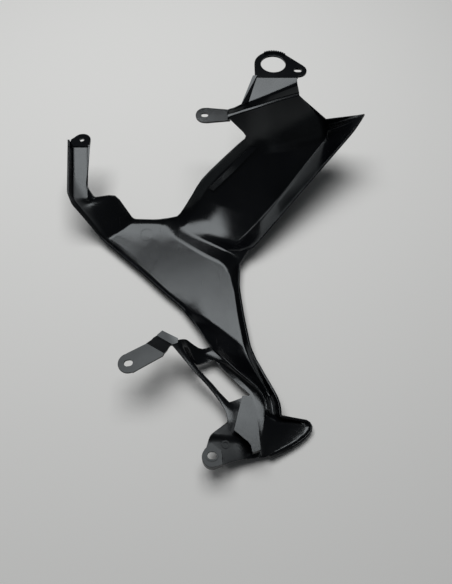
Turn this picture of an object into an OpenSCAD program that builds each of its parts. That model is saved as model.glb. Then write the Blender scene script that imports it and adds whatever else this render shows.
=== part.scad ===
// Inner side fairing of a motorcycle: one injection moulding with flanges, lugs and slots.
// It lies on its outer face, so the ribbed inner face looks up along +Z.
// Corners of the skin are given on the inner face, as heights over the lowest outer point.

/* [Moulding] */
// Wall of the skin and of the brackets
wall = 2.4; // [1.8:0.1:3]
// Reach of a soft bend, measured from its corner
soft_bend = 9; // [5:0.5:12]
// Reach of the broad bends inside the wing
broad_bend = 24; // [12:1:28]
// Reach of a crisp bend, measured from its corner
crisp_bend = 3; // [2:0.25:5]
// Height of the return flange along the lower left edge
edge_flange = 9; // [5:0.5:14]
// Lean of that flange from upright
edge_lean = 27; // [20:1:40]
// Height of the flange along the right side of the leg
leg_flange = 16; // [10:0.5:20]
// Height of the lip along the cut-out between arm and wing
cutout_lip = 3.5; // [3:0.5:8]
// Height of the left wall of the arm channel
arm_wall = 14; // [8:0.5:20]
// Height of the right lip of the arm channel
arm_lip = 1.5; // [1:0.5:4]

/* [Ring bracket] */
// Bore of the large ring
ring_bore = 31; // [24:0.5:34]
// Outside diameter of the ring plate
ring_d = 47; // [44:0.5:54]
// Height of the rib along the far rim of the ring
ring_rib_h = 1.8; // [1:0.2:3]
// Tilt of the ring plate, far side up
ring_tilt = 3; // [0:0.5:8]
// Length of the slot in the ring's side lug
lug_slot_l = 10; // [8:0.5:12]
// Width of the slot in the ring's side lug
lug_slot_w = 7; // [5:0.25:8]
// Outside diameter of the side lug
lug_d = 22; // [19:0.5:25]

/* [Ear tab] */
// Length of the ear's slot
ear_slot_l = 9; // [8:0.5:11]
// Width of the ear's slot
ear_slot_w = 6.5; // [5:0.25:7.5]
// Width of the ear tab across its round end
ear_d = 22; // [18:0.5:25]
// Tilt of the ear tab, far side up
ear_tilt = 9; // [6:0.5:12]

/* [Arm tab] */
// Hole in the tab at the top of the arm
arm_hole = 6; // [5:0.25:8]
// Diameter of the tab's round end
arm_tab_d = 22; // [18:0.5:24]

/* [Step bracket] */
// Length of the slot in the stepped bracket
step_slot_l = 9; // [8:0.5:11]
// Width of the slot in the stepped bracket
step_slot_w = 7; // [5:0.25:8]
// Diameter of the stepped bracket's round end
step_d = 21; // [18:0.5:24]
// Rise of the step between its two flats
step_rise = 10; // [6:0.5:14]

/* [Foot bracket] */
// Length of the slot in the foot bracket
foot_slot_l = 9; // [8:0.5:11]
// Width of the slot in the foot bracket
foot_slot_w = 7; // [5:0.25:8]
// Depth of the hollow boss that carries that slot
foot_boss_h = 12; // [10:0.5:14]
// Height of the raised collar round that slot
collar_h = 0.8; // [0.4:0.1:1.5]
// Width of the raised collar round that slot
collar_w = 1.6; // [1:0.1:2]

/* [Window] */
// Length of the window beside the leg
window_l = 54; // [40:1:56]
// Width of the window beside the leg
window_w = 21; // [12:1:23]

/* [Details] */
// Height of the raised strip inside the wing, at its inner edge
strip_h = 3.5; // [1:0.1:4]
// Width of the raised strip inside the wing
strip_w = 9; // [6:0.5:11]
// Outside diameter of the round boss mark beside the foot slot
boss_d = 8; // [6:0.5:10]
// Height of that boss mark over the skin
boss_h = 0.8; // [0.5:0.1:2]

/* [Hidden] */
$fn = 48;
bend_steps = 2;
ledge_bend = 1;
middle = [11, -37, 0];
ring_at = [59, 24.4];
lug_at = [89, 12.5];
plate_at = [0, 235, 119];
ear_at = [-26, 192, 98];
arm_hole_at = [-184, 188];
arm_z = 62;
step_at = [-97, -113];
step_z = 39;
step_turn = 59;
foot_at = [-13, -198];
foot_z = 19;
window_at = [-4.7, -117.2];
window_turn = -46;
window_skew = 4.5;
over = 1;

// Corner of a flange that rises from corner p, leaning out along heading way
function flange(p, way, h, lean) =
    p + [cos(way) * h * tan(lean), sin(way) * h * tan(lean), h];
function edge(p) = flange(p, 227, edge_flange, edge_lean);
function leg_side(p, share = 1) = p + [5, -6, leg_flange * share];
function lip(p) = p + [0, 2, cutout_lip];

// Corners of the arm, each row from its left fold to its right fold
arm_top = [[-194, 178, 61], [-190, 178, 61], [-185, 178, 61], [-181, 178, 61], [-174.5, 178, 61]];
arm_low = [[-188, 108, 40], [-184, 108, 40], [-180, 108, 40], [-176, 108, 40], [-170.5, 108, 40]];
crease = [[-179, 99, 33], [-176, 101, 33], [-173, 104, 33], [-170, 107, 33], [-167, 110.5, 34.5]];
notch = [[-169, 90, 23], [-161, 96, 27], [-153, 102, 31], [-146, 107, 35], [-139, 111, 39.5]];

// Corners of the central panel, from its lower left fold to the foot of the ridge
fold = [[-150, 74, 2], [-144, 80, 2], [-137, 86, 2], [-130, 92, 3], [-122.5, 99, 4.5]];
panel_a = [[-122, 48, 0], [-113, 61, 0], [-104, 74, 0], [-95, 87, 1], [-85, 100, 3.5]];
panel_b = [[-109, 36, 0], [-100, 51, 0], [-91, 67, 0], [-82, 82, 0], [-74, 95, 2]];
panel_c = [[-97, 25, 0], [-90, 38, 0], [-82, 53, 0], [-74, 68, 0], [-66, 81, 0]];
panel_d = [[-86, 14, 0], [-77, 27, 0], [-67, 41, 0], [-57, 55, 0], [-48, 67, 0]];
panel_e = [[-73, 1, 0], [-62, 14, 0], [-50, 27, 0], [-38, 40, 0], [-27, 52, 0]];
panel_f = [[-61, -10, 0], [-49, 2, 0], [-35, 15, 0], [-21, 29, 0], [-8, 42, 0]];
panel_g = [[-50, -20, 0], [-38, -9, 0], [-23, 5, 0], [-9, 20, 0], [3, 33, 0]];

// Corners of the wing, from the ridge over a ledge up to the ring, one row for each line along it
wing_rim = [
    [-69, 103, 8], [-58, 101, 19], [-41, 117, 37], [-31, 132, 47], [-6, 156, 57],
    [20, 179, 67], [28, 184, 70], [2, 185, 100], [2, 188.5, 101], [4, 190, 106]
];
wing_fold = [
    [-59, 88, 5], [-50, 97, 9], [-33, 116, 23], [-24, 133, 34], [3, 157, 45],
    [28, 178, 55], [34, 184, 63], [21, 193, 101], [21, 196.5, 102], [25, 200, 108],
    plate_at + [35, 2, 0]
];
wing_step = [
    [-43, 78, 6], [-33, 89, 7], [-22, 110, 16], [-15, 129, 27], [12, 153, 38],
    [39, 176, 47], [46, 189, 59], [40, 200, 102], [40, 203.5, 103], [44, 208, 110.5],
    plate_at + [52, 2, 0]
];
wing_floor = [
    [-19, 65, 8], [-9, 77, 5], [8, 102, 9], [22, 125, 11], [51, 155, 21],
    [78, 195, 39], [84, 202, 57], [62, 210, 103], [62, 213.5, 104], [64, 216.5, 113],
    plate_at + [70, 1, 0]
];
wing_valley = [
    [0, 53, 10], [13, 66, 0], [33, 93, -0.9], [55, 122, -0.9], [80, 153, 6],
    [137, 219, 39], [134, 222, 57], [91, 221.5, 103], [91, 225, 104], [87.5, 226.5, 116],
    plate_at + [87, 0, 0]
];
wing_edge = [
    [15, 38, 12], [32, 50, 20], [56, 76, 31], [80, 103, 41], [105, 131, 51],
    [161, 192, 75], [176, 214, 81]
];

// Corners of the leg, from beside its crest down to the foot of its right flange;
// the third row is the fold where the flat panel ends
leg_a = [[-46, -25, 1], [-33, -17, 0], [-19, -8, 0], [-5, 0, 0], [9, 8, 0]];
leg_b = [[-43, -28, 2], [-28, -29, 0], [-14, -32, 0], [0, -34, 0], [14, -35, 0]];
leg_c = [[-40, -31, 3], [-24, -37, 0], [-9, -48, 0], [5, -60, 0], [20, -71, 0]];
leg_d = [[-22, -50, 6], [-10, -56, 4], [2, -64, 3], [12, -71, 2], [22, -78, 0]];
leg_e = [[-11, -72, 10], [-1, -75, 8], [8, -79, 5.5], [17, -83, 3], [25, -87, 0]];
leg_f = [[3, -92, 14], [10, -93, 10], [17, -95, 6.5], [24, -96, 3], [30, -97, 0]];
leg_g = [[19, -111, 15], [23, -110, 11], [27, -109, 7], [31, -108, 3], [35, -108, 0]];
leg_h = [[34, -126, 15], [37, -125, 11], [39, -125, 7], [41, -124, 4], [43, -124, 1]];
leg_i = [[43, -140, 13], [44, -139, 9], [46, -139, 6], [47, -138, 5], [49, -138, 6]];
leg_j = [[43, -152, 13], [45, -152, 9], [46, -152, 7], [48, -152, 6], [49, -152, 6]];
leg_rows = [leg_a, leg_b, leg_c, leg_d, leg_e, leg_f, leg_g, leg_h, leg_i, leg_j];
leg_crest = [
    [-46, -31, 9], [-42, -37, 9], [-37, -45, 10], [-29, -57, 11], [-18, -77, 14], [-3, -94, 19],
    [15, -112, 20], [32, -126, 20], [41, -140, 18], [42, -152, 17]
];
leg_side_share = [0.6, 0.7, 0.76, 0.79, 0.84, 0.9, 0.95, 1, 0.7, 0.65];

// Corners of the foot, each row from the crest down to the turned-up lip
foot_rows = [
    [
        [39, -160, 14], [43, -160, 13], [49, -160, 11], [59, -160, 8.5],
        [70, -160, 6], [82, -161, 3.5], [85.5, -160, 6.5]
    ],
    [
        [37, -169, 12], [41, -169, 11], [47, -168.5, 9.5], [57, -167.5, 7],
        [69, -167, 4.5], [84, -166.5, 3], [87.5, -167, 6]
    ],
    [
        [35, -179, 10], [39, -178.5, 9.5], [44, -178.5, 8], [52, -178, 6],
        [61, -177.5, 4.5], [72, -177, 3], [74.5, -179, 6]
    ],
    [
        [33, -189, 8], [36, -188.5, 8], [40, -188, 7], [45, -187.5, 6],
        [50, -187, 5], [56, -185.5, 4], [58, -187.5, 6.5]
    ],
    [
        [33, -195, 8], [35, -195, 7.5], [37, -195, 7], [38.5, -194.5, 6.5],
        [40.5, -193.5, 6], [43, -191.5, 6], [44, -194, 8]
    ]
];

skin_rows = [
    [flange(arm_top[0], 205, arm_wall * 0.8, 9), each arm_top, arm_top[4] + [0, 0, arm_lip]],
    [flange(arm_low[0], 205, arm_wall, 9), each arm_low, arm_low[4] + [-1.5, 17, 3.5 + arm_lip]],
    [flange(crease[0], 215, arm_wall, 26), each crease, crease[4] + [3, 2, cutout_lip]],
    [flange(notch[0], 205, arm_wall * 0.7, 28), each notch, notch[4] + [3, 2, cutout_lip]],
    [flange(fold[0], 205, edge_flange, 32), each fold, fold[4] + [4, 4, cutout_lip]],
    [edge(panel_a[0]), each panel_a, lip(panel_a[4])],
    [edge(panel_b[0]), each panel_b, each wing_rim],
    [edge(panel_c[0]), each panel_c, each wing_fold],
    [edge(panel_d[0]), each panel_d, each wing_step],
    [edge(panel_e[0]), each panel_e, each wing_floor],
    [edge(panel_f[0]), each panel_f, each wing_valley],
    [edge(panel_g[0]), each panel_g, each wing_edge],
    for (k = [0:9]) [leg_crest[k], each leg_rows[k], leg_side(leg_rows[k][4], leg_side_share[k])],
    each foot_rows
];
skin_row_bends = [
    2, crisp_bend, crisp_bend, soft_bend, crisp_bend, soft_bend, soft_bend, crisp_bend,
    soft_bend, broad_bend, crisp_bend, soft_bend, soft_bend, soft_bend, crisp_bend, soft_bend,
    soft_bend, soft_bend, soft_bend, soft_bend, soft_bend, crisp_bend, crisp_bend,
    soft_bend, soft_bend, soft_bend, 2
];
skin_column_bends = [
    2, crisp_bend, soft_bend, soft_bend, soft_bend, crisp_bend, crisp_bend, soft_bend,
    broad_bend, broad_bend, broad_bend, soft_bend, soft_bend, ledge_bend, ledge_bend,
    crisp_bend, 2
];

// Corners of the window channel left of the leg, from its rail to the crest
channel_rows = [
    [[-56, -88, 38], [-50, -82, 38], [-42, -78, 31], [-33, -82, 22], [-26, -84, 17], [-16, -78, 12]],
    [[-47, -97, 32], [-43, -94, 32], [-37, -92, 20], [-28, -92, 12], [-18, -91, 12], [-9, -88, 15]],
    [[-33, -113, 27], [-29, -110, 27], [-27, -107, 11], [-9, -97, 10], [-3, -97, 14], [6, -103, 17]],
    [[-18, -127, 21], [-14, -124, 21], [-12, -121, 10], [9, -114, 9], [16, -113, 13], [25, -120, 18]],
    [[-6, -142, 16], [-2, -140, 16], [2, -139, 11], [24, -132, 11], [33, -130, 13], [38, -134, 17]],
    [[0, -152, 16], [4, -151, 16], [10, -150, 15], [26, -146, 12], [36, -144, 12], [42, -145, 15]],
    [[2, -162, 17], [6, -162, 17], [11, -162, 16], [26, -159, 12], [35, -157, 11], [40, -158, 12]],
    [[-14, -176, 23], [-7, -177, 22], [5, -178, 19], [22, -174, 14], [32, -171, 10], [37, -171, 10]],
    [[-17, -181, 19], [-9, -180, 18], [6, -181, 15], [20, -180, 13], [30, -180, 9], [35, -180, 8]],
    [[-20, -192, 19], [-8, -192, 18], [7, -191, 15], [20, -190, 13], [29, -188, 9], [34, -187, 8]],
    [[-5, -205, 19], [0, -203, 18], [9, -200, 15], [21, -197, 12], [29, -196, 9], [34, -194, 8]]
];
channel_row_bends = [for (k = [0:10]) k > 4 ? crisp_bend : soft_bend];
channel_column_bends = [2, crisp_bend, crisp_bend, soft_bend, soft_bend, 2];

// Plan of the hollow wedge that stiffens the foot bracket, with the slope of its flat top
wedge_plan = [
    [17, -141], [25, -141], [28, -153], [30, -165], [31, -178], [32, -191],
    [26, -193], [25, -188], [21, -183], [9, -173]
];
wedge_open = [[11, -169], [24, -180], [28, -187], [23, -199], [2, -178]];
wedge_z = 32;
wedge_slope = 0.075;
wedge_drop = 19;

// Point of a corner line, between two of its corners where k isn't whole
function along(line, k) =
    let (i = floor(k)) k == i ? line[i] : (i + 1 - k) * line[i] + (k - i) * line[i + 1];
function unit(v) = v / norm(v);
function towards(p, q, r) = p + unit(q - p) * min(r, 0.45 * norm(q - p));

// Points of one rounded corner: an end of a path stays straight
function bend_points(a, p, b) =
    [for (k = [0:bend_steps]) let (t = k / bend_steps) (1 - t) ^ 2 * a + 2 * t * (1 - t) * p + t ^ 2 * b];
function corner(before, p, after, r) =
    is_undef(p) ? [for (k = [0:bend_steps]) undef]
    : let (
        a = is_undef(before) ? p : towards(p, before, r),
        b = is_undef(after) ? p : towards(p, after, r),
        whole = !is_undef(before) && !is_undef(after)
    )
    bend_points(a, whole ? p : (a + b) / 2, b);
function rounded(path, bends) = [
    for (i = [0:len(path) - 1])
        each corner(i > 0 ? path[i - 1] : undef, path[i], path[i + 1], bends[i])
];

// A net of corners becomes a fine net with a rounded bend along each of its lines
function column(net, j) = [for (row = net) row[j]];
function turned(net) = [for (j = [0:len(net[0]) - 1]) column(net, j)];
function even(net, n) = [for (row = net) [for (j = [0:n - 1]) row[j]]];
function fine_net(net, row_bends, column_bends) =
    let (
        across = [for (row = even(net, len(column_bends))) rounded(row, column_bends)],
        along = [for (line = turned(across)) rounded(line, row_bends)]
    )
    turned(along);

// Upward normal of the net at row i and column j
function or_else(a, b) = is_undef(a) ? b : a;
function normal_at(net, i, j) =
    let (
        p = net[i][j],
        down = or_else(i + 1 < len(net) ? net[i + 1][j] : undef, p) - or_else(i > 0 ? net[i - 1][j] : undef, p),
        right = or_else(net[i][j + 1], p) - or_else(j > 0 ? net[i][j - 1] : undef, p)
    )
    unit(cross(down, right));

// A closed shell under a fine net, of one thickness or of a list with one for each row;
// cells with a missing corner are open
module shell(net, t) {
    rows = len(net);
    cols = len(net[0]);
    total = rows * cols;
    top = [for (row = net) for (p = row) is_undef(p) ? [0, 0, 0] : p];
    under = [
        for (i = [0:rows - 1]) for (j = [0:cols - 1])
            is_undef(net[i][j]) ? [0, 0, 0] : net[i][j] - (is_list(t) ? t[i] : t) * normal_at(net, i, j)
    ];
    full = [
        for (i = [0:rows - 1]) [
            for (j = [0:cols - 1])
                i < rows - 1 && j < cols - 1 && !is_undef(net[i][j]) && !is_undef(net[i][j + 1])
                && !is_undef(net[i + 1][j]) && !is_undef(net[i + 1][j + 1])
        ]
    ];
    cells = [for (i = [0:rows - 2]) for (j = [0:cols - 2]) if (full[i][j]) [i, j]];
    faces = [
        for (c = cells)
            let (
                i = c[0], j = c[1], a = i * cols + j, b = a + 1, d = a + cols, e = d + 1,
                open_up = i == 0 || !full[i - 1][j],
                open_down = !full[i + 1][j],
                open_left = j == 0 || !full[i][j - 1],
                open_right = !full[i][j + 1]
            )
            each [
                [a, b, e], [a, e, d],
                [b + total, a + total, e + total], [e + total, a + total, d + total],
                if (open_up) each [[b, a, a + total], [b, a + total, b + total]],
                if (open_down) each [[d, e, e + total], [d, e + total, d + total]],
                if (open_left) each [[a, d, d + total], [a, d + total, a + total]],
                if (open_right) each [[e, b, b + total], [e, b + total, e + total]]
            ]
    ];
    polyhedron(points = [each top, each under], faces = faces);
}

// A slot outline with round ends, its long axis along X
module slot(length, width) {
    straight = length - width;
    translate([-straight / 2, 0]) circle(d = width);
    translate([straight / 2, 0]) circle(d = width);
    translate([-straight / 2, -width / 2]) square([straight, width]);
}

// The whole skin: arm, central panel, leg, foot, wing and the shelf under the ring
module skin() {
    translate([0, 0, wall])
        shell(fine_net(skin_rows, skin_row_bends, skin_column_bends), wall);
}

// The channel beside the leg with its window
module window_channel() {
    difference() {
        translate([0, 0, wall])
            shell(fine_net(channel_rows, channel_row_bends, channel_column_bends), wall);
        translate([window_at[0], window_at[1], -over])
            rotate([0, 0, window_turn])
            linear_extrude(step_z + wall)
            polygon([
                [-window_l / 2 - window_skew, -window_w / 2], [-window_l / 2 + window_skew, window_w / 2],
                [window_l / 2 + window_skew, window_w / 2], [window_l / 2 - window_skew, -window_w / 2]
            ]);
        boss_room();
    }
}

// Raised strip between the left fold and the floor of the wing, thicker along its inner edge
module wing_strip() {
    share = strip_w / 11;
    outer = 0.5 - share / 2;
    inner = 0.5 + share / 2;
    sunk = wall / 2;
    net = [
        for (side = [outer, inner])
            let (rise = wall + (side == inner ? strip_h : 0.3))
            [
                for (k = [3, 4, 5.4])
                    (1 - side) * along(wing_fold, k) + side * along(wing_step, k) + [0, 0, rise]
            ]
    ];
    depths = [for (i = [0:2 * bend_steps + 1]) sunk + (i > bend_steps ? strip_h : 0.3)];
    shell(fine_net(net, [2, 2], [2, soft_bend, 2]), depths);
}

// Ring plate with its side lug, tilted up from the top of the riser
module ring_plate() {
    across = lug_at - ring_at;
    turn = atan2(across[1], across[0]) + acos((ring_d - lug_d) / 2 / norm(across));
    out = [cos(turn), sin(turn)];
    left = ring_at[0] - ring_d / 2;
    translate(ring_at) circle(d = ring_d);
    translate(lug_at) circle(d = lug_d);
    polygon([
        [left, ring_at[1]], [left, 0], [88, -1], lug_at + [0, -lug_d / 2],
        lug_at + out * lug_d / 2, ring_at + out * ring_d / 2
    ]);
}

// Raised rim along the far side of the ring, cut by notches into ribs
module ring_ribs() {
    rim = ring_d / 2 - 0.4;
    translate(ring_at)
        difference() {
            rotate([0, 0, 46])
                rotate_extrude(angle = 72)
                polygon([
                    [rim - 3.4, wall / 2], [rim - 3, wall + ring_rib_h],
                    [rim, wall + ring_rib_h], [rim, wall / 2]
                ]);
            for (turn = [52:7.5:112])
                rotate([0, 0, turn])
                    translate([rim - 5, -0.5, wall + ring_rib_h - 0.9])
                    cube([7, 1, 2]);
        }
}

module ring_bracket() {
    translate(plate_at)
        rotate([ring_tilt, 0, 0]) {
            difference() {
                linear_extrude(wall) ring_plate();
                translate([ring_at[0], ring_at[1], -over]) cylinder(d = ring_bore, h = wall + 2 * over);
                translate([lug_at[0], lug_at[1], -over])
                    linear_extrude(wall + 2 * over)
                    slot(lug_slot_l, lug_slot_w);
            }
            ring_ribs();
        }
}

// Flange down the left side of the riser
module riser_side() {
    translate([0, 0, wall])
        shell([
            [[19, 200, 103], [27, 200, 108]],
            [plate_at + [33, 1, 0], plate_at + [38, 1, 0]]
        ], wall);
}

// Ear tab at the left end of the shelf
module ear_tab() {
    translate(ear_at)
        rotate([ear_tilt, 0, 0])
        difference() {
            linear_extrude(wall) {
                circle(d = ear_d);
                polygon([[2, ear_d / 2], [31, 8], [33, 4], [31, -8], [2, -ear_d / 2]]);
            }
            translate([0, 0, -over])
                linear_extrude(wall + 2 * over)
                slot(ear_slot_l, ear_slot_w);
        }
}

// Flat tab at the top of the arm
module arm_tab() {
    difference() {
        translate([0, 0, arm_z])
            linear_extrude(wall) {
                translate(arm_hole_at) circle(d = arm_tab_d);
                polygon([
                    [-198, 189], [-198, 176], [-172.5, 176], arm_hole_at + [arm_tab_d / 2, 0],
                    arm_hole_at + [-arm_tab_d / 4, arm_tab_d * 0.43]
                ]);
            }
        translate([arm_hole_at[0], arm_hole_at[1], arm_z - over])
            cylinder(d = arm_hole, h = wall + 2 * over);
    }
}

// Stepped bracket: its side view carried along the bends, cut to its plan
module step_bracket() {
    high = step_z + step_rise;
    difference() {
        intersection() {
            rotate([0, 0, 180 + step_turn])
                rotate([90, 0, 0])
                translate([0, 0, -60])
                linear_extrude(120)
                polygon([
                    [84, step_z], [105, step_z], [110, step_z + step_rise * 0.4],
                    [114, step_z + step_rise * 0.5], [121, high], [170, high],
                    [170, high + wall], [120, high + wall], [113, step_z + step_rise * 0.5 + wall],
                    [109, step_z + step_rise * 0.4 + wall], [104, step_z + wall], [84, step_z + wall]
                ]);
            linear_extrude(high + 2 * wall) {
                translate(step_at) circle(d = step_d);
                polygon([
                    [-102, -104], [-81, -92], [-72, -77], [-67, -72], [-50, -81], [-50, -86],
                    [-57, -89], [-63, -105], [-92, -123]
                ]);
            }
        }
        translate([step_at[0], step_at[1], high - over])
            rotate([0, 0, 10])
            linear_extrude(wall + 2 * over)
            slot(step_slot_l, step_slot_w);
    }
}

// Outline of the foot boss: a round end with a pointed shoulder towards the leg
module boss_outline() {
    translate(foot_at + [0, -1]) circle(d = 19.5);
    polygon([[-20.6, -192.5], [-14.3, -186], [-4, -193.5], [-3.5, -205.6], [-8, -207.4]]);
}

// Room below the top of the foot boss
module boss_room() {
    translate([0, 0, -over])
        linear_extrude(foot_z + foot_boss_h - wall + over)
        offset(delta = -wall) boss_outline();
}

// Foot bracket: a hollow boss with a collar round its slot
module foot_bracket() {
    difference() {
        union() {
            translate([0, 0, foot_z]) linear_extrude(foot_boss_h) boss_outline();
            translate([foot_at[0], foot_at[1], foot_z + foot_boss_h - wall / 2])
                linear_extrude(wall / 2 + collar_h)
                slot(foot_slot_l + 2 * collar_w, foot_slot_w + 2 * collar_w);
        }
        boss_room();
        translate([foot_at[0], foot_at[1], foot_z])
            linear_extrude(foot_boss_h + collar_h + over)
            slot(foot_slot_l, foot_slot_w);
    }
}

// Hollow wedge over the foot bracket, open below and at its lower end
module wedge() {
    top = [wedge_plan[0][0], wedge_plan[0][1], wedge_z];
    lean = atan(wedge_slope);
    difference() {
        linear_extrude(wedge_z + over) offset(r = 1) polygon(wedge_plan);
        translate(top) rotate([lean, 0, 0]) translate([-50, -80, 0]) cube([100, 100, 20]);
        translate(top) rotate([lean, 0, 0]) translate([-50, -80, -20 - wedge_drop]) cube([100, 100, 20]);
        difference() {
            linear_extrude(wedge_z + over) {
                offset(delta = -wall * 0.6) polygon(wedge_plan);
                polygon(wedge_open);
            }
            translate(top) rotate([lean, 0, 0]) translate([-50, -80, -wall]) cube([100, 100, 20]);
        }
    }
}

// Round rim of the boss mark beside the foot slot
module boss_mark() {
    sunk = 2;
    translate([-1, -184.7, 18.8 - sunk])
        rotate([0, 12, 0])
        difference() {
            cylinder(d = boss_d, h = sunk + boss_h);
            translate([0, 0, -over]) cylinder(d = boss_d - 3, h = sunk + boss_h + 2 * over);
        }
}

module fairing_panel() {
    color("#2b2d2f")
        translate(middle) {
            skin();
            window_channel();
            wing_strip();
            ring_bracket();
            riser_side();
            ear_tab();
            arm_tab();
            step_bracket();
            foot_bracket();
            wedge();
            boss_mark();
        }
}

fairing_panel();
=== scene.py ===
"""Satin black inner side fairing of a motorcycle, lying on a pale floor under one soft box."""
import math

import bmesh
import bpy
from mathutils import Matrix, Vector
from mathutils.bvhtree import BVHTree


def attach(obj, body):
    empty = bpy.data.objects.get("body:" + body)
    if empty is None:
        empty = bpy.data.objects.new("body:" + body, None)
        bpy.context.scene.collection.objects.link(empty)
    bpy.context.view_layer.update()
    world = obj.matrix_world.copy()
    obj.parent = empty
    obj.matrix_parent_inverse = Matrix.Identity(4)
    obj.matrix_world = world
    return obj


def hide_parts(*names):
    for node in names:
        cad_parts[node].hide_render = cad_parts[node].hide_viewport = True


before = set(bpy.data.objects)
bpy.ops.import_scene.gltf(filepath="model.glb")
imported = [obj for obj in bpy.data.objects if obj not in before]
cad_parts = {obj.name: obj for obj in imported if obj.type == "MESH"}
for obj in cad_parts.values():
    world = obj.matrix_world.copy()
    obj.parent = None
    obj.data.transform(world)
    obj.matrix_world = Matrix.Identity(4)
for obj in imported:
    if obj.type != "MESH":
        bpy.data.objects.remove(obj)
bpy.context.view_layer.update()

MM = 0.001
NODE = "fairing_panel"

# The view: where the camera stands over the bench and how far it looks down
CAMERA_AT = (11 * MM, -348.1 * MM, 517.7 * MM)
LOOK_DOWN = 59.0
VIEW_ANGLE = 60.0

# Fine circle on the centre panel, and how deep its foot is sunk
RING_AT = (-89.7 * MM, 46.3 * MM)
RING_RADIUS = 8.0 * MM
RING_WIDTH = 1.1 * MM
RING_HEIGHT = 0.5 * MM
RING_STEPS = 72
SUNK = 0.3 * MM
OVERHEAD = 1.0

# The floor: how far it reaches to each side, and how far it lies under the part
FLOOR_REACH = 6.0
FLOOR_DROP = 0.2 * MM
FLOOR_COLOUR = (0.86, 0.86, 0.845, 1.0)

# What the camera sees past the floor, and the faint light from all round
BACKDROP = (0.5, 0.5, 0.49, 1.0)
SKY = (0.9, 0.95, 1.0, 1.0)
SKY_STRENGTH = 0.05

# The soft box under the ceiling: its place over the bench, height, sides and power
BOX_OVER = (-0.18, 0.43)
BOX_HEIGHT = 1.5
BOX_SIDES = (1.24, 1.08)
BOX_POWER = 19

# Zones of the surface, each as a heading over the floor and where it starts and ends along it
RIDGE_WAY = (0.61, 0.79)
WING_FROM = (24 * MM, 34 * MM)
WING_TO = (160 * MM, 175 * MM)
BRACKET_WAY = (-0.85, -0.53)
BRACKET_FROM = (95 * MM, 105 * MM)

# Colours of the plastic, where it is clean, where it is worn and where dust lies
BLACK = (0.0015, 0.0018, 0.0026, 1.0)
WORN = (0.0035, 0.0038, 0.0046, 1.0)
GREY_DUST = (0.05, 0.05, 0.048, 1.0)
COOL_SHEEN = (0.91, 0.97, 1.0, 1.0)

# Moulded edges: how far a rim is rounded and in how many steps, the clear face that it needs,
# the least turn of a rim, and the sharpest turn that is shaded smooth
EDGE_ROUND = 0.4 * MM
EDGE_STEPS = 3
EDGE_ROOM = 0.9 * MM
EDGE_OVER = 55.0
SMOOTH_UNDER = 34.0

# Cleaning of the node's triangles: corners this close are one, slivers this thin go, and
# triangles that turn less than this are joined in pairs of any shape
SAME_CORNER = 0.01 * MM
THIN_SLIVER = 0.02 * MM
FLAT_PAIR = 20.0
ANY_SHAPE = 180.0


class Value:
    """A shader socket that can be used in sums."""

    def __init__(self, tree, socket):
        self.tree = tree
        self.socket = socket

    def math(self, operation, *others):
        node = self.tree.nodes.new("ShaderNodeMath")
        node.operation = operation
        for slot, item in zip(node.inputs, (self,) + others):
            feed(self.tree, slot, item)
        return Value(self.tree, node.outputs[0])

    def __add__(self, other):
        return self.math("ADD", other)

    def __mul__(self, other):
        return self.math("MULTIPLY", other)

    def __sub__(self, other):
        return self.math("SUBTRACT", other)

    def __rsub__(self, other):
        return (self * -1.0) + other

    __radd__ = __add__
    __rmul__ = __mul__

    def ramp(self, low, high):
        """0 up to low, 1 from high on, smooth between."""
        node = self.tree.nodes.new("ShaderNodeMapRange")
        node.interpolation_type = "SMOOTHSTEP"
        feed(self.tree, node.inputs["Value"], self)
        node.inputs["From Min"].default_value = low
        node.inputs["From Max"].default_value = high
        return Value(self.tree, node.outputs["Result"])


def feed(tree, slot, item):
    """Puts a link, a number or a tuple into a node's input."""
    if isinstance(item, Value):
        tree.links.new(item.socket, slot)
    else:
        slot.default_value = item


class Finish:
    """A material and the short calls that build its nodes."""

    def __init__(self, name):
        self.material = bpy.data.materials.new(name)
        self.material.use_nodes = True
        self.tree = self.material.node_tree
        self.shader = self.tree.nodes["Principled BSDF"]
        self.place = self.node("ShaderNodeTexCoord", output="Object")

    def node(self, kind, settings=None, output=0, **inputs):
        made = self.tree.nodes.new(kind)
        for name, value in (settings or {}).items():
            setattr(made, name, value)
        for name, value in inputs.items():
            slot = 1 if name == "Vector_001" else name.replace("_", " ")
            feed(self.tree, made.inputs[slot], value)
        return Value(self.tree, made.outputs[output])

    def noise(self, scale, detail=2.0, roughness=0.5, stretch=None):
        place = self.place
        if stretch:
            place = self.node("ShaderNodeMapping", Vector=place, Scale=stretch)
        return self.node("ShaderNodeTexNoise", Vector=place, Scale=scale, Detail=detail,
                         Roughness=roughness)

    def along(self, x, y):
        """Distance along a heading over the floor."""
        return self.node("ShaderNodeVectorMath", {"operation": "DOT_PRODUCT"}, output="Value",
                         Vector=self.place, Vector_001=(x, y, 0.0))

    def mix(self, share, first, second):
        made = self.tree.nodes.new("ShaderNodeMix")
        made.data_type = "RGBA"
        feed(self.tree, made.inputs["Factor"], share)
        feed(self.tree, made.inputs["A"], first)
        feed(self.tree, made.inputs["B"], second)
        return Value(self.tree, made.outputs["Result"])

    def set(self, **sockets):
        for name, item in sockets.items():
            feed(self.tree, self.shader.inputs[name.replace("_", " ")], item)


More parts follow.
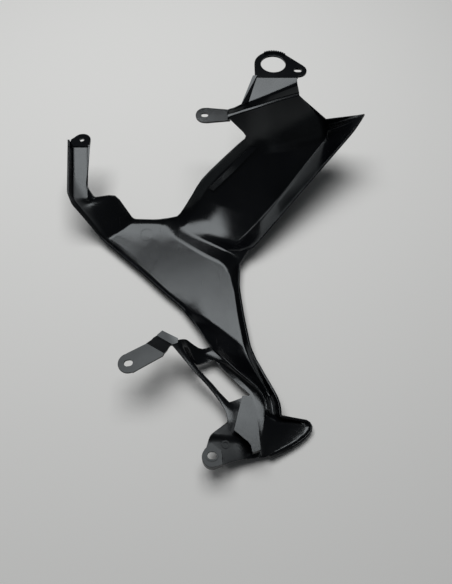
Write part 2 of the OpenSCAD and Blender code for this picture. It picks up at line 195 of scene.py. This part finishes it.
def moulded_plastic():
    """Satin black moulding: fine spark grain, flow patches, hairline scuffs and a little dust."""
    finish = Finish("moulded_plastic")
    grain = finish.noise(2200.0, detail=3.0, roughness=0.6)
    flow = finish.noise(11.0, detail=3.0).ramp(0.35, 0.7)
    mottle = finish.noise(90.0, detail=4.0, roughness=0.6)
    dust = finish.noise(420.0, detail=4.0, roughness=0.75).ramp(0.60, 0.76)
    scuffs = finish.noise(1.0, detail=3.0, stretch=(700.0, 26.0, 60.0)).ramp(0.66, 0.74)
    scuffs = scuffs * finish.noise(16.0, detail=1.0).ramp(0.46, 0.6)
    base = finish.mix(flow, BLACK, WORN)
    base = finish.mix(dust * 0.10 + scuffs * 0.16, base, GREY_DUST)

    # The dished wing is smoother than the rest, the stepped bracket duller
    across = finish.along(*RIDGE_WAY)
    wing = across.ramp(*WING_FROM) - across.ramp(*WING_TO)
    bracket = finish.along(*BRACKET_WAY).ramp(*BRACKET_FROM)
    rough = grain * 0.06 + flow * 0.07 + mottle * 0.05 + 0.12
    finish.set(Base_Color=base, Roughness=rough + scuffs * 0.12 - wing * 0.07 + bracket * 0.24)
    finish.set(Specular_Tint=COOL_SHEEN)
    bump = finish.node("ShaderNodeBump", Strength=0.12, Distance=0.0004, Height=grain + mottle * 0.6)
    finish.set(Normal=bump)
    return finish.material


def pale_floor():
    finish = Finish("pale_floor")
    finish.set(Base_Color=FLOOR_COLOUR, Roughness=0.9)
    return finish.material


def piece_from(mesh_maker, name):
    """Makes an object at the origin from a bmesh."""
    mesh = bpy.data.meshes.new(name)
    mesh_maker.to_mesh(mesh)
    mesh_maker.free()
    piece = bpy.data.objects.new(name, mesh)
    bpy.context.scene.collection.objects.link(piece)
    return piece


def even_normals(mesh):
    """Each face corner takes the mean normal of the faces round it that turn less than a sharp bend."""
    around = [[] for _ in mesh.vertices]
    for face in mesh.polygons:
        for corner in face.vertices:
            around[corner].append((face.normal.copy(), face.area))
    close = math.cos(math.radians(SMOOTH_UNDER))
    normals = []
    for face in mesh.polygons:
        for corner in face.vertices:
            total = Vector()
            for normal, area in around[corner]:
                if normal.dot(face.normal) > close:
                    total += normal * area
            normals.append(total.normalized() if total.length else face.normal)
    mesh.normals_split_custom_set(normals)


def shade(piece, material):
    piece.data.materials.clear()
    piece.data.materials.append(material)
    for face in piece.data.polygons:
        face.use_smooth = True
        face.material_index = 0
    even_normals(piece.data)


def is_rim(edge):
    """A crisp outer edge between two flat faces."""
    return (edge.is_manifold and edge.is_convex and edge.calc_length() > EDGE_ROOM
            and edge.calc_face_angle(0.0) > math.radians(EDGE_OVER))


def rim_edges(made):
    """The rims whose faces leave room for a rounding, end to end."""
    rims = {edge for edge in made.edges if is_rim(edge)}
    while True:
        tight = set()
        for edge in rims:
            for corner in edge.verts:
                near = [other for other in corner.link_edges if other is not edge]
                along = [other for other in near if other in rims]
                across = [other.calc_length() for other in near if other not in rims]
                if len(along) > 1 or min(across, default=0.0) < EDGE_ROOM:
                    tight.add(edge)
        if not tight:
            return list(rims)
        rims -= tight


def moulding(material):
    """The whole moulding with its corners rounded as they come out of a tool."""
    made = bmesh.new()
    made.from_mesh(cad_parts[NODE].data)
    bmesh.ops.remove_doubles(made, verts=made.verts, dist=SAME_CORNER)
    bmesh.ops.dissolve_degenerate(made, dist=THIN_SLIVER, edges=made.edges)
    bmesh.ops.join_triangles(
        made, faces=made.faces, cmp_seam=False, cmp_sharp=False, cmp_uvs=False, cmp_vcols=False,
        cmp_materials=False, angle_face_threshold=math.radians(FLAT_PAIR),
        angle_shape_threshold=math.radians(ANY_SHAPE))
    bmesh.ops.bevel(
        made, geom=rim_edges(made), offset=EDGE_ROUND, offset_type="OFFSET", segments=EDGE_STEPS,
        profile=0.5, affect="EDGES", clamp_overlap=False, material=-1)
    piece = piece_from(made, "moulding")
    shade(piece, material)
    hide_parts(NODE)
    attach(piece, "root")
    return piece


def height_at(x, y):
    """Height of the moulding's upper face over a point of the floor."""
    return surface.ray_cast(Vector((x, y, OVERHEAD)), Vector((0, 0, -1)))[0].z


def raised_ring(name, material):
    """A fine raised circle, as an ejector leaves in a moulding."""
    made = bmesh.new()
    outer = RING_RADIUS + RING_WIDTH
    outline = (
        (RING_RADIUS, -SUNK), (RING_RADIUS, RING_HEIGHT), (outer, RING_HEIGHT), (outer, -SUNK))
    corners = [made.verts.new((RING_AT[0] + out, RING_AT[1], up)) for out, up in outline]
    edges = [made.edges.new((corners[k - 1], corners[k])) for k in range(len(corners))]
    bmesh.ops.spin(made, geom=corners + edges, cent=(*RING_AT, 0), axis=(0, 0, 1), angle=math.tau,
                   steps=RING_STEPS, use_merge=True)
    for corner in made.verts:
        corner.co.z += height_at(corner.co.x, corner.co.y)
    bmesh.ops.recalc_face_normals(made, faces=made.faces)
    piece = piece_from(made, name)
    shade(piece, material)
    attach(piece, "root")
    return piece


def floor(material):
    made = bmesh.new()
    bmesh.ops.create_grid(made, x_segments=1, y_segments=1, size=FLOOR_REACH)
    bmesh.ops.translate(made, verts=made.verts, vec=(0, 0, -FLOOR_DROP))
    piece = piece_from(made, "floor")
    piece.data.materials.append(material)


def soft_box():
    """One wide lamp that shines straight down."""
    lamp = bpy.data.lights.new("ceiling_box", "AREA")
    lamp.shape = "RECTANGLE"
    lamp.size, lamp.size_y = BOX_SIDES
    lamp.energy = BOX_POWER
    holder = bpy.data.objects.new("ceiling_box", lamp)
    holder.location = (*BOX_OVER, BOX_HEIGHT)
    holder.rotation_euler = Vector((0, 0, -BOX_HEIGHT)).to_track_quat("-Z", "Y").to_euler()
    bpy.context.scene.collection.objects.link(holder)


def studio():
    world = bpy.data.worlds.new("studio")
    bpy.context.scene.world = world
    world.use_nodes = True
    tree = world.node_tree
    sky = tree.nodes["Background"]
    sky.inputs["Color"].default_value = SKY
    sky.inputs["Strength"].default_value = SKY_STRENGTH
    seen = tree.nodes.new("ShaderNodeBackground")
    seen.inputs["Color"].default_value = BACKDROP
    either = tree.nodes.new("ShaderNodeMixShader")
    ray = tree.nodes.new("ShaderNodeLightPath")
    tree.links.new(ray.outputs["Is Camera Ray"], either.inputs[0])
    tree.links.new(sky.outputs[0], either.inputs[1])
    tree.links.new(seen.outputs[0], either.inputs[2])
    tree.links.new(either.outputs[0], tree.nodes["World Output"].inputs["Surface"])
    soft_box()
    bpy.context.scene.view_settings.view_transform = "Standard"


def camera():
    data = bpy.data.cameras.new("camera")
    data.sensor_fit = "VERTICAL"
    data.angle = math.radians(VIEW_ANGLE)
    holder = bpy.data.objects.new("camera", data)
    holder.location = CAMERA_AT
    holder.rotation_euler = (math.radians(90 - LOOK_DOWN), 0, 0)
    bpy.context.scene.collection.objects.link(holder)
    bpy.context.scene.camera = holder


camera()
studio()
floor(pale_floor())
plastic = moulded_plastic()
panel = moulding(plastic)
surface = BVHTree.FromPolygons(
    [corner.co for corner in panel.data.vertices], [face.vertices for face in panel.data.polygons])
raised_ring("ejector_ring", plastic)

bpy.context.view_layer.update()
